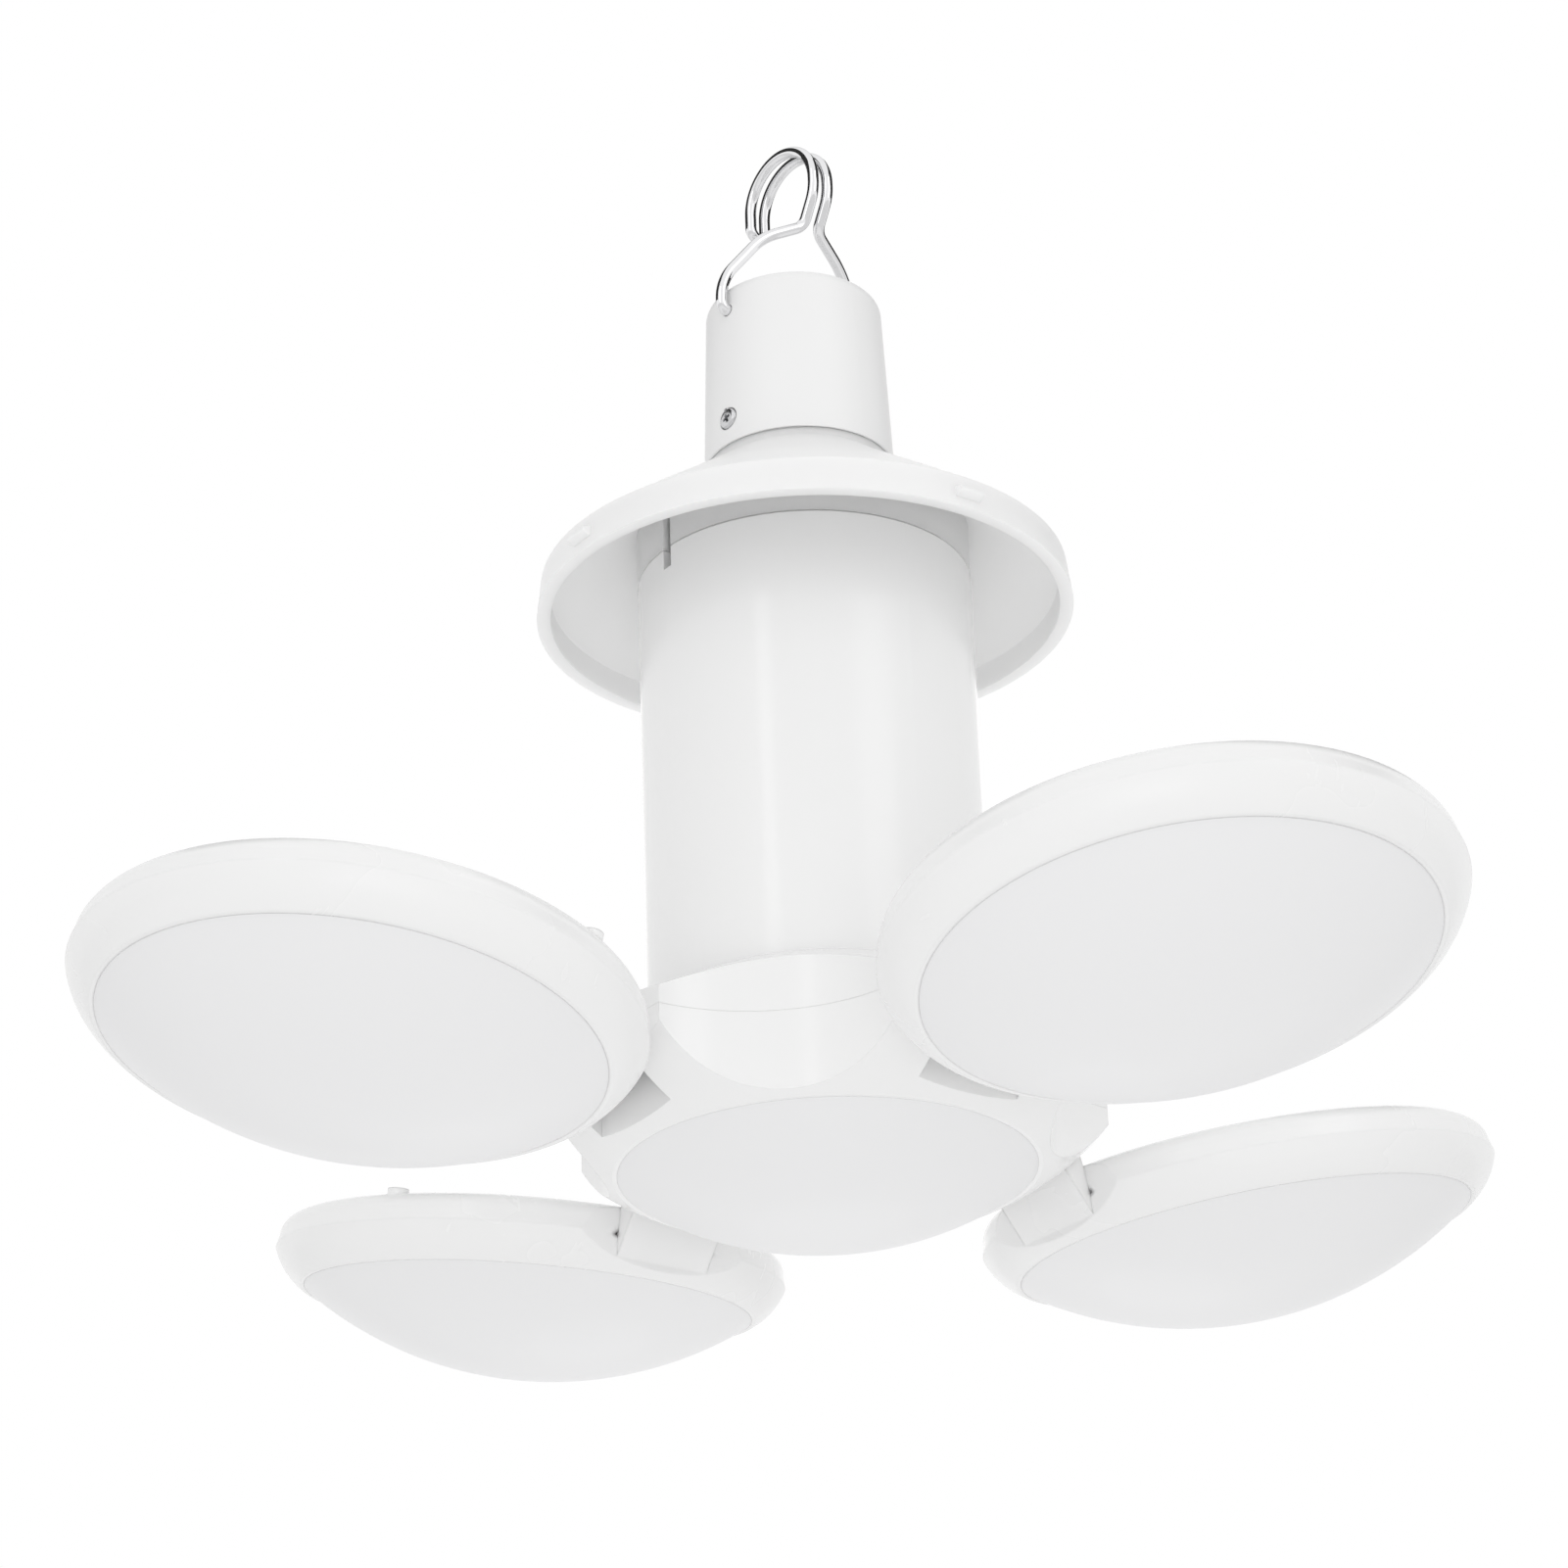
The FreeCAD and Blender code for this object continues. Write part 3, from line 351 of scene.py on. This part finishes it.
handling_scuffs = handling_scuffs_group()
print(handling_scuffs.name, "nodes", len(handling_scuffs.nodes))

# %% [markdown]
# ## How a finish is put together
# Every finish of the lamp is a material with one Principled shader, some of the groups above and a mix
# of two near shades. They could be copied from one another by hand, but then a change would have to be
# made in each. So three helpers take up what they share.

# %% Helpers for finishes


def new_material(name):
    """A fresh material, with its node tree and its shader."""
    material = bpy.data.materials.new(name)
    material.use_nodes = True
    shader = material.node_tree.nodes["Principled BSDF"]
    return material, material.node_tree, shader


def add_group(tree, group, coordinates, values):
    """One of the groups in a material, with values of its own."""
    node = tree.nodes.new("ShaderNodeGroup")
    node.node_tree = group
    tree.links.new(coordinates, node.inputs["Vector"])
    for label, value in values.items():
        node.inputs[label].default_value = value
    return node.outputs


def two_shades(tree, factor, first, second):
    """A Mix node from one shade to another."""
    mix = tree.nodes.new("ShaderNodeMix")
    mix.data_type = "RGBA"
    mix.inputs["A"].default_value = (*first, 1)
    mix.inputs["B"].default_value = (*second, 1)
    tree.links.new(factor, mix.inputs["Factor"])
    return mix


print("groups to place:", [group.name for group in (moulded_skin, dust_specks, handling_scuffs)])

# %% [markdown]
# ## Colour and edges of a plastic
# A white moulding is nearly one colour. It drifts between two near shades, and a few specks of dust lie
# on it. A mould leaves no knife-sharp edges, so a Bevel node rounds the CAD edges in the shading, which
# is lighter than to bevel a dense mesh. The grain of the skin is a weak bump on top of that.

# %% Colour and edges
DUST_SHADE = (0.5, 0.49, 0.47)
EDGE_RADIUS = 0.00025
EDGE_SAMPLES = 8
GRAIN_STRENGTH = 0.02
GRAIN_HEIGHT = 0.0002


def plastic_colour(tree, coordinates, drift, shade, drifted, dust):
    """Two shades that drift into each other, with a share of dust specks."""
    colour = two_shades(tree, drift, shade, drifted)
    if dust:
        specks = add_group(tree, dust_specks, coordinates, {"Share": dust})
        dusty = two_shades(tree, specks["Mask"], shade, DUST_SHADE)
        tree.links.new(colour.outputs["Result"], dusty.inputs["A"])
        colour = dusty
    return colour.outputs["Result"]


def plastic_relief(tree, grain, edge):
    """Normals with rounded edges and a fine grain."""
    soft_edge = tree.nodes.new("ShaderNodeBevel")
    soft_edge.samples = EDGE_SAMPLES
    soft_edge.inputs["Radius"].default_value = edge
    relief = tree.nodes.new("ShaderNodeBump")
    relief.inputs["Strength"].default_value = GRAIN_STRENGTH
    relief.inputs["Distance"].default_value = GRAIN_HEIGHT
    tree.links.new(grain, relief.inputs["Height"])
    tree.links.new(soft_edge.outputs["Normal"], relief.inputs["Normal"])
    return relief.outputs["Normal"]


print("edges seem rounded by (mm)", in_mm([EDGE_RADIUS]))

# %% [markdown]
# ## A plastic
# All plastics of the lamp are laid out in one way: object coordinates, which stay with the piece when it
# moves, the skin group, the colour, scuffs in the gloss and the relief. Where a wall is thin, light
# spreads inside it and shines through, which is what subsurface scattering does.

# %% Plastics
PLASTIC_IOR = 1.5
FINE_GRAIN = 1500.0
SPREAD_WEIGHT = 0.9
SPREAD_SHARES = (1.0, 1.0, 1.0)


def plastic(name, shade, drifted, low, high, grain=FINE_GRAIN, dust=None, edge=EDGE_RADIUS, spread=None):
    """Moulded plastic, with its gloss between low and high. Dust is the share of specks, edge the radius
    that sharp edges seem to have, and spread how far light travels inside."""
    material, tree, shader = new_material(name)
    coordinates = tree.nodes.new("ShaderNodeTexCoord").outputs["Object"]
    skin = add_group(tree, moulded_skin, coordinates, {"Grain Scale": grain, "Low": low, "High": high})
    scuffs = add_group(tree, handling_scuffs, coordinates, {})
    colour = plastic_colour(tree, coordinates, skin["Drift"], shade, drifted, dust)
    gloss = combine(tree, "ADD", skin["Roughness"], scuffs["Mask"])
    relief = plastic_relief(tree, skin["Grain"], edge)
    tree.links.new(colour, shader.inputs["Base Color"])
    tree.links.new(gloss, shader.inputs["Roughness"])
    tree.links.new(relief, shader.inputs["Normal"])
    shader.inputs["IOR"].default_value = PLASTIC_IOR
    if spread:
        shader.inputs["Subsurface Weight"].default_value = SPREAD_WEIGHT
        shader.inputs["Subsurface Radius"].default_value = SPREAD_SHARES
        shader.inputs["Subsurface Scale"].default_value = spread
    print("plastic", name)
    return material


# %% [markdown]
# ## White mouldings
# The column and the hub are glossy. The cap and the collar come from another mould and have a satin
# skin that shows no sharp reflections. The collar's roof is thin, so some of the light that falls on
# it comes through to its hollow underside. The petals lie between satin and gloss, and their rims are
# well rounded. The lenses are opal: a shade greyer, and matt enough that no lamp shows in them.

# %% Finishes of the white mouldings
SATIN_GRAIN = 2200.0
OPAL_GRAIN = 4000.0
PETAL_EDGE_RADIUS = 0.0008
COLLAR_SPREAD = 0.004

white_shell = plastic(
    "white_shell", (0.87, 0.87, 0.87), (0.85, 0.85, 0.848), low=0.14, high=0.22, dust=0.05)
satin_white = plastic(
    "satin_white", (0.87, 0.87, 0.87), (0.855, 0.855, 0.853), low=0.40, high=0.50,
    grain=SATIN_GRAIN, dust=0.04)
collar_white = plastic(
    "collar_white", (0.85, 0.85, 0.85), (0.835, 0.835, 0.833), low=0.40, high=0.50,
    grain=SATIN_GRAIN, dust=0.04, spread=COLLAR_SPREAD)
petal_white = plastic(
    "petal_white", (0.87, 0.87, 0.87), (0.852, 0.852, 0.85), low=0.22, high=0.30,
    dust=0.04, edge=PETAL_EDGE_RADIUS)
opal = plastic(
    "milky_lens", (0.835, 0.835, 0.84), (0.82, 0.82, 0.825), low=0.34, high=0.42,
    grain=OPAL_GRAIN, dust=0.03)

# %% [markdown]
# ## Metals
# The hook is bent from drawn wire and chromed, the screws are turned and the pins are ground, and all
# of these leave fine lines. A noise that is stretched along the piece gives them. Bare metal needs no
# colour of its own beyond a light grey: what it reflects does the rest. The edge tint keeps the rims
# from flashing white.

# %% Finishes of the metal pieces
EDGE_TINT = (0.8, 0.8, 0.8, 1)
LINE_SCALE = 900.0


def metal(name, shade, drifted, low, high, stretch=(1, 1, 1)):
    """Bare metal with fine drawn lines, with its gloss between low and high."""
    material, tree, shader = new_material(name)
    coordinates = tree.nodes.new("ShaderNodeTexCoord").outputs["Object"]
    mapping = tree.nodes.new("ShaderNodeMapping")
    mapping.inputs["Scale"].default_value = stretch
    tree.links.new(coordinates, mapping.inputs["Vector"])
    skin = add_group(
        tree, moulded_skin, mapping.outputs["Vector"],
        {"Drift Scale": LINE_SCALE, "Low": low, "High": high})
    colour = two_shades(tree, skin["Drift"], shade, drifted)
    tree.links.new(colour.outputs["Result"], shader.inputs["Base Color"])
    tree.links.new(skin["Roughness"], shader.inputs["Roughness"])
    shader.inputs["Metallic"].default_value = 1.0
    shader.inputs["Specular Tint"].default_value = EDGE_TINT
    print("metal", name)
    return material


chrome = metal(
    "chrome_wire", (0.86, 0.86, 0.87), (0.80, 0.80, 0.81), low=0.03, high=0.06, stretch=(1, 1, 0.1))
screw_steel = metal("screw_steel", (0.68, 0.68, 0.69), (0.58, 0.58, 0.59), low=0.12, high=0.22)
pin_steel = metal(
    "pin_steel", (0.6, 0.6, 0.61), (0.5, 0.5, 0.52), low=0.2, high=0.3, stretch=(0.2, 0.2, 1))
socket_metal = metal("socket_metal", (0.65, 0.65, 0.66), (0.55, 0.55, 0.56), low=0.25, high=0.35)

# %% [markdown]
# ## Finishes of what lies inside
# Boards, LEDs, cells, their holder and the switch only show when the lamp is taken apart. One grey could
# do for all, but then a cell and a board would look alike. So they get plain plastics in the colours
# that such pieces have, with no dust, since they are closed in.

# %% Finishes of the inner pieces
led_package = plastic("led_package", (0.9, 0.75, 0.25), (0.85, 0.68, 0.2), low=0.3, high=0.4)
led_board = plastic("led_board", (0.8, 0.8, 0.8), (0.76, 0.76, 0.75), low=0.4, high=0.5)
black_plastic = plastic("black_plastic", (0.02, 0.02, 0.022), (0.03, 0.03, 0.032), low=0.4, high=0.5)
circuit_board = plastic("circuit_board", (0.01, 0.07, 0.03), (0.015, 0.09, 0.04), low=0.3, high=0.4)
cell_can = plastic("cell_can", (0.03, 0.1, 0.3), (0.04, 0.12, 0.34), low=0.25, high=0.35)

# %% [markdown]
# ## Painting the pieces
# Each CAD node names a material slot, so a table from slot to finish paints nearly all of them. The
# white mouldings share one slot, and their nodes' names tell which mould they come from.

# %% Finishes on the CAD nodes
FINISHES = {
    "white_shell": white_shell,
    "milky_lens": opal,
    "chrome_wire": chrome,
    "screw_steel": screw_steel,
    "pin_steel": pin_steel,
    "socket_metal": socket_metal,
    "led_package": led_package,
    "led_board": led_board,
    "black_plastic": black_plastic,
    "circuit_board": circuit_board,
    "cell_can": cell_can,
}


def finish_for(node, slot):
    """The white mouldings differ by mould; all else takes its slot's finish."""
    if node == "hook_cap":
        return satin_white
    if node == "collar":
        return collar_white
    if node.startswith("petal_") and node.endswith("_shell"):
        return petal_white
    return FINISHES[slot]


subparts = frame["record"]["subparts"]
for entry in subparts:
    node = nodes[entry["node"]]
    node.data.materials.clear()
    node.data.materials.append(finish_for(entry["node"], entry["material_slot"]))
print("painted", len(subparts), "nodes with", len(FINISHES), "slots")

# %% [markdown]
# ## The two cross-recess screws of the cap
# Two pan-head screws hold the cap to the neck, one under each leg of the hook. The CAD screws are
# plain cylinders, so they are modelled here, on the Z axis. The cross could be drawn in a bump map,
# but a cut keeps its walls crisp. The cutter is a plus of two bars that narrow towards their tips, as
# a driver's point does.

# %% Cutter for the cross
HEAD_HEIGHT = 0.0012
RECESS_WIDTH = 0.00075
RECESS_DEPTH = 0.0009
RECESS_TAPER = 0.45
FLAT = 0.9


def pick_faces(mesh, test):
    """Select, in edit mode, the faces that pass a test on their normal."""
    shape = bmesh.from_edit_mesh(mesh)
    for face in shape.faces:
        face.select_set(test(face.normal))
    shape.select_flush_mode()
    bmesh.update_edit_mesh(mesh)


def recess_bar(turn, reach):
    """One tapered bar of the cross cutter, with its top above the head."""
    bpy.ops.object.select_all(action="DESELECT")
    bpy.ops.mesh.primitive_cube_add(size=1.0, location=(0, 0, HEAD_HEIGHT))
    bar = bpy.context.object
    bar.scale = (2 * reach, RECESS_WIDTH, 2 * RECESS_DEPTH)
    bar.rotation_euler = (0, 0, turn)
    bpy.ops.object.transform_apply(location=True, rotation=True, scale=True)
    bpy.ops.object.mode_set(mode="EDIT")
    pick_faces(bar.data, lambda normal: normal.z < -FLAT)
    bpy.ops.transform.resize(value=(RECESS_TAPER, RECESS_TAPER, 1))
    bpy.ops.object.mode_set(mode="OBJECT")
    return bar


def cut_with(piece, cutter):
    """Cut a piece with another and throw the cutter away."""
    bpy.ops.object.select_all(action="DESELECT")
    bpy.context.view_layer.objects.active = piece
    boolean = piece.modifiers.new("cut", "BOOLEAN")
    boolean.operation = "DIFFERENCE"
    boolean.solver = "EXACT"
    boolean.object = cutter
    bpy.ops.object.modifier_apply(modifier=boolean.name)
    bpy.data.objects.remove(cutter)


print("recess width and depth (mm)", in_mm((RECESS_WIDTH, RECESS_DEPTH)))

# %% [markdown]
# ## A screw with a domed head
# A real screw's head is pressed to shape and its shank is rolled. Here a disc has its upper rim
# bevelled to a dome, and the shank is drawn out of an inset on its underside. The head's radius is
# read from the CAD screw, so that it fills the recess in the cap.

# %% One screw
SCREW_SIDES = 64
SCREW_CREASE = math.radians(35)
DOME_SHARE = 0.6
DOME_STEPS = 6
SHANK_RADIUS = 0.0010
SHANK_LENGTH = 0.0036
RECESS_SHARE = 0.62
RECESS_TURNS = (math.radians(20), math.radians(110))


def cross_screw(head_radius):
    """A pan-head screw on the Z axis, with its head's seat at the origin."""
    bpy.ops.object.select_all(action="DESELECT")
    bpy.ops.mesh.primitive_cylinder_add(
        vertices=SCREW_SIDES, radius=head_radius, depth=HEAD_HEIGHT, location=(0, 0, HEAD_HEIGHT / 2))
    screw = bpy.context.object
    bpy.ops.object.transform_apply(location=True, rotation=True, scale=True)
    bpy.ops.object.mode_set(mode="EDIT")
    pick_faces(screw.data, lambda normal: normal.z > FLAT)
    bpy.ops.mesh.bevel(offset=DOME_SHARE * HEAD_HEIGHT, segments=DOME_STEPS, affect="EDGES")
    pick_faces(screw.data, lambda normal: normal.z < -FLAT)
    bpy.ops.mesh.inset(thickness=head_radius - SHANK_RADIUS)
    bpy.ops.mesh.extrude_region_move(TRANSFORM_OT_translate={"value": (0, 0, -SHANK_LENGTH)})
    bpy.ops.object.mode_set(mode="OBJECT")
    for turn in RECESS_TURNS:
        cut_with(screw, recess_bar(turn, RECESS_SHARE * head_radius))
    bpy.ops.object.select_all(action="DESELECT")
    screw.select_set(True)
    bpy.context.view_layer.objects.active = screw
    bpy.ops.object.shade_smooth_by_angle(angle=SCREW_CREASE)
    return screw


screws_low, screws_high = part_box("cap_screws")
head_radius = (screws_high.z - screws_low.z) / 2
screw = cross_screw(head_radius)
print("head radius (mm)", in_mm([head_radius]), "faces", len(screw.data.polygons))

# %% [markdown]
# ## Both screws in the cap
# The screws lie on the axis on which the hook turns, a little below it. So that axis, which the model
# states, gives the direction in which the heads face, and the CAD screws' box gives how far out and
# how high they sit. Each copy has a mesh of its own, and its place is in that mesh.

# %% Screws in place


def copy_to(model, name, matrix, finish):
    """A copy of a modelled piece, with a mesh of its own that is moved to its place and painted."""
    piece = model.copy()
    piece.name = name
    piece.data = model.data.copy()
    piece.data.transform(matrix)
    piece.data.materials.clear()
    piece.data.materials.append(finish)
    scene.collection.objects.link(piece)
    return piece


pivot_joint = next(joint for joint in frame["joints"] if joint["name"] == "hook_pivot")
outward = Vector(pivot_joint["axis"])
face_reach = (screws_high.y - head_radius * abs(outward.x)) / outward.y
seat_height = (screws_low.z + screws_high.z) / 2
for index, side in enumerate((1, -1), 1):
    seat = side * (face_reach - HEAD_HEIGHT) * outward + Vector((0, 0, seat_height))
    turn = (side * outward).to_track_quat("Z", "Y").to_matrix().to_4x4()
    piece = copy_to(screw, f"cap_cross_screw_{index}", Matrix.Translation(seat) @ turn, screw_steel)
    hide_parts("cap_screws")
    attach(piece, "housing")
    print(piece.name, "faces", len(piece.data.polygons), "seat (mm)", in_mm(seat))
bpy.data.objects.remove(screw)

# %% [markdown]
# ## The dome of a milky lens
# The hub and each petal have a domed lens of opal plastic, moulded in one shot. A sphere would have to
# be cut, and would have a pole of thin triangles at its rim. So the dome grows from the rim's circle,
# ring by ring, towards its middle, and each ring lies on the ball that rim and depth define.

# %% Dome of a lens
LENS_SIDES = 160
LENS_RINGS = 26


def grow_dome(rim_radius, sag):
    """A dome that hangs from a rim at z = 0. It stays in edit mode."""
    ball_radius = (rim_radius ** 2 + sag ** 2) / (2 * sag)
    rim_angle = math.asin(rim_radius / ball_radius)
    bpy.ops.object.select_all(action="DESELECT")
    bpy.ops.mesh.primitive_circle_add(vertices=LENS_SIDES, radius=rim_radius, fill_type="NOTHING")
    dome = bpy.context.object
    bpy.ops.object.mode_set(mode="EDIT")
    bpy.ops.mesh.select_all(action="SELECT")
    for ring in range(LENS_RINGS - 1, -1, -1):
        outer = rim_angle * (ring + 1) / LENS_RINGS
        angle = rim_angle * ring / LENS_RINGS
        drop = ball_radius * (math.cos(outer) - math.cos(angle))
        bpy.ops.mesh.extrude_region_move(TRANSFORM_OT_translate={"value": (0, 0, drop)})
        if ring:
            shrink = math.sin(angle) / math.sin(outer)
            bpy.ops.transform.resize(value=(shrink, shrink, 1))
    bpy.ops.mesh.merge(type="CENTER")
    return dome


print("domes of", LENS_RINGS, "rings with", LENS_SIDES, "sides")

# %% [markdown]
# ## The wall and the flange of a lens
# A lens is pressed into its bezel from behind, where a thin flange stops it, and its edge is rounded, so
# that only a soft groove shows round it. A ring could be made apart and joined on, but a moulding is one
# skin. So the dome's own rim is drawn up into a short wall and out into the flange, and is then bevelled.

# %% Wall and flange
LENS_WALL = 0.00126
LENS_FLANGE = 0.00069
LENS_EDGE = 0.00005
LENS_EDGE_STEPS = 5
RIM_HEIGHT = 1e-6


def pick_rim(mesh):
    """Select, in edit mode, the edges that lie on the rim, at z = 0."""
    bpy.ops.mesh.select_mode(type="EDGE")
    bpy.ops.mesh.select_all(action="DESELECT")
    shape = bmesh.from_edit_mesh(mesh)
    for edge in shape.edges:
        edge.select_set(all(abs(end.co.z) < RIM_HEIGHT for end in edge.verts))
    bmesh.update_edit_mesh(mesh)


def draw_flange(lens, widen):
    """Draw the rim up into a wall and out into a flange, and round the edge, in edit mode."""
    pick_rim(lens.data)
    bpy.ops.mesh.extrude_region_move(TRANSFORM_OT_translate={"value": (0, 0, LENS_WALL)})
    bpy.ops.mesh.extrude_region_move(TRANSFORM_OT_translate={"value": (0, 0, 0)})
    bpy.ops.transform.resize(value=(widen, widen, 1))
    pick_rim(lens.data)
    bpy.ops.mesh.bevel(offset=LENS_EDGE, segments=LENS_EDGE_STEPS, affect="EDGES")


print("wall, flange and edge (mm)", in_mm((LENS_WALL, LENS_FLANGE, LENS_EDGE)))

# %% [markdown]
# ## The skin of a lens
# So far the lens is a sheet. Solidify gives it a thickness, and it has to grow inwards, so that the
# outside keeps its size. For that all faces must point outwards. Blender makes them agree, but on an
# open sheet it can't tell which side is out, so the lowest face, which has to look down, decides.

# %% Skin, and one whole lens
LENS_THICKNESS = 0.0016
LENS_CREASE = math.radians(40)
INWARDS = -1.0


def thicken(lens):
    """Turn the faces outwards and give the sheet its thickness. It leaves edit mode."""
    bpy.ops.mesh.select_all(action="SELECT")
    bpy.ops.mesh.normals_make_consistent(inside=False)
    shape = bmesh.from_edit_mesh(lens.data)
    lowest = min(shape.faces, key=lambda face: face.calc_center_median().z)
    if lowest.normal.z > 0:
        bpy.ops.mesh.flip_normals()
    bpy.ops.object.mode_set(mode="OBJECT")
    skin = lens.modifiers.new("skin", "SOLIDIFY")
    skin.thickness = LENS_THICKNESS
    skin.offset = INWARDS
    skin.use_even_offset = True
    bpy.ops.object.modifier_apply(modifier=skin.name)
    bpy.ops.object.shade_smooth_by_angle(angle=LENS_CREASE)


def milky_lens(flange_radius, sag):
    """A domed lens that hangs from a rim at z = 0, with its flange above."""
    rim_radius = flange_radius - LENS_FLANGE
    lens = grow_dome(rim_radius, sag)
    draw_flange(lens, flange_radius / rim_radius)
    thicken(lens)
    print("lens of radius and sag (mm)", in_mm((rim_radius, sag)), "faces", len(lens.data.polygons))
    return lens


hub_lens = milky_lens(flange_radius=0.03603, sag=0.0109)
petal_lens = milky_lens(flange_radius=0.04154, sag=0.0132)

# %% [markdown]
# ## The lenses in the hub and the petals
# The hub's lens hangs level. The petals' lens is made once and copied four times, each copy turned by
# a quarter about the column and tilted as the open petals are. The middle of the CAD lens's box says
# where each belongs, so a lens stays in its bezel if the bezel moves.

# %% Lenses in place
PETALS = 4
OPEN_TILT = math.radians(10.5)


def middle_of(low, high):
    """The middle of a box."""
    return (Vector(low) + Vector(high)) / 2


def hang_lens(model, node, body, turn):
    """Copy a lens to where the CAD lens is: turned like it, with the middles of both boxes in one place."""
    corners = [turn @ vertex.co for vertex in model.data.vertices]
    low = [min(corner[axis] for corner in corners) for axis in range(3)]
    high = [max(corner[axis] for corner in corners) for axis in range(3)]
    shift = Matrix.Translation(middle_of(*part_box(node)) - middle_of(low, high))
    piece = copy_to(model, f"opal_{node}", shift @ turn, opal)
    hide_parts(node)
    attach(piece, body)
    print(piece.name, "moved (mm)", in_mm(shift.translation))


hang_lens(hub_lens, "hub_lens", "housing", Matrix.Identity(4))
for number in range(1, PETALS + 1):
    around = math.radians(360 * (number - 1) / PETALS)
    turn = Matrix.Rotation(around, 4, "Z") @ Matrix.Rotation(-OPEN_TILT, 4, "Y")
    hang_lens(petal_lens, f"petal_{number}_lens", f"petal_{number}", turn)
for model in (hub_lens, petal_lens):
    bpy.data.objects.remove(model)
